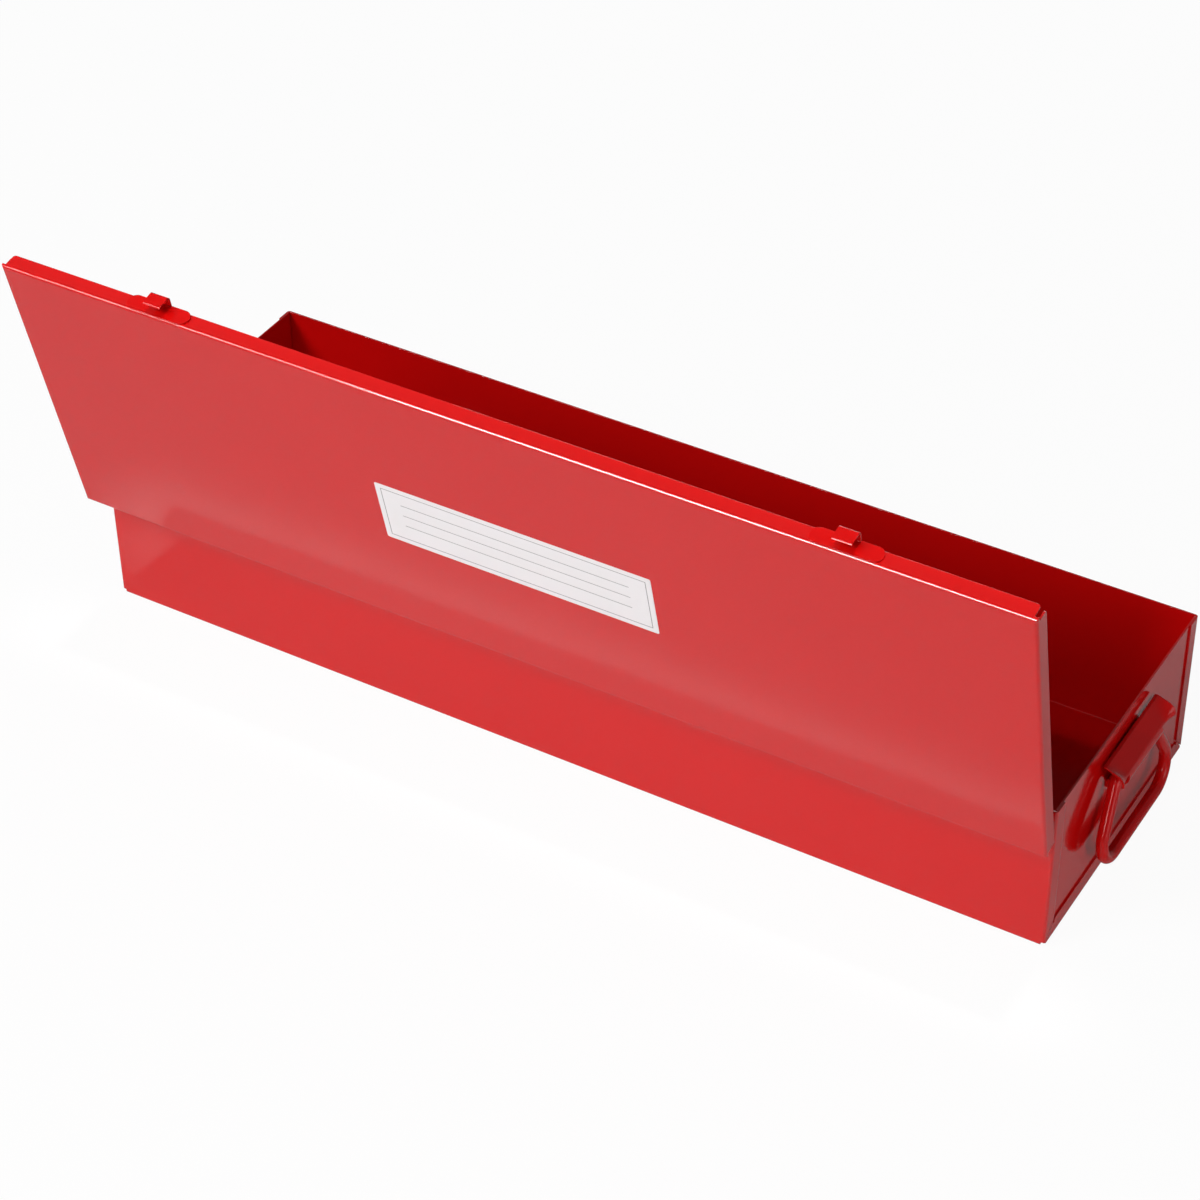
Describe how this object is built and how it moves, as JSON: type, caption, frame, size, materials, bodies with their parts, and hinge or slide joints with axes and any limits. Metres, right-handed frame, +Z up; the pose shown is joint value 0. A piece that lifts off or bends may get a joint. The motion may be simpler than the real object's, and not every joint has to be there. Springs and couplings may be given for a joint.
{
  "type": "metal tool case",
  "caption": "Long shallow sheet-metal tool case with a pan lid on a piano hinge, drop handles at the ends and draw latches along the front.",
  "frame": {"origin": "centre of the case body's underside, on the surface that it stands on", "axes": "+X along the case's length, +Y from the hinge side to the latch side, +Z up"},
  "size_m": [0.6828, 0.2806, 0.2963],
  "materials": {
    "red_paint": "gloss enamel",
    "hardware_paint": "gloss enamel over stamped steel",
    "plated_steel": "zinc plated"
  },
  "bodies": {
    "case": {"case_shell": "red_paint", "left_end_panel": "red_paint", "right_end_panel": "red_paint", "left_handle_bracket": "hardware_paint", "right_handle_bracket": "hardware_paint", "hinge_body_leaf": "red_paint", "hinge_pin": "plated_steel", "left_latch_base": "hardware_paint", "right_latch_base": "hardware_paint", "left_latch_pin": "plated_steel", "right_latch_pin": "plated_steel"},
    "lid": {"lid_panel": "red_paint", "hinge_lid_leaf": "red_paint", "left_catch": "hardware_paint", "right_catch": "hardware_paint"},
    "left_handle": {"left_handle": "hardware_paint"},
    "left_lever": {"left_latch_lever": "hardware_paint"},
    "left_bail": {"left_latch_bail": "plated_steel"},
    "right_handle": {"right_handle": "hardware_paint"},
    "right_lever": {"right_latch_lever": "hardware_paint"},
    "right_bail": {"right_latch_bail": "plated_steel"}
  },
  "joints": [
    {"name": "lid_hinge", "type": "hinge", "parent": "case", "child": "lid", "pos_m": [0, -0.1037, 0.0887], "axis": [1, 0, 0], "range_deg": [-103, 0]},
    {"name": "left_handle_swing", "type": "hinge", "parent": "case", "child": "left_handle", "pos_m": [-0.3325, 0, 0.074], "axis": [0, 1, 0], "range_deg": [-7.2, 85.4]},
    {"name": "left_lever_turn", "type": "hinge", "parent": "case", "child": "left_lever", "pos_m": [-0.22, 0.106, 0.066], "axis": [1, 0, 0], "range_deg": [0, 135]},
    {"name": "left_bail_turn", "type": "hinge", "parent": "left_lever", "child": "left_bail", "pos_m": [-0.22, 0.1045, 0.058], "axis": [-1, 0, 0], "range_deg": [-179.24, 0]},
    {"name": "right_handle_swing", "type": "hinge", "parent": "case", "child": "right_handle", "pos_m": [0.3325, 0, 0.074], "axis": [0, -1, 0], "range_deg": [-7.2, 85.4]},
    {"name": "right_lever_turn", "type": "hinge", "parent": "case", "child": "right_lever", "pos_m": [0.22, 0.106, 0.066], "axis": [1, 0, 0], "range_deg": [0, 135]},
    {"name": "right_bail_turn", "type": "hinge", "parent": "right_lever", "child": "right_bail", "pos_m": [0.22, 0.1045, 0.058], "axis": [-1, 0, 0], "range_deg": [-179.24, 0]}
  ]
}
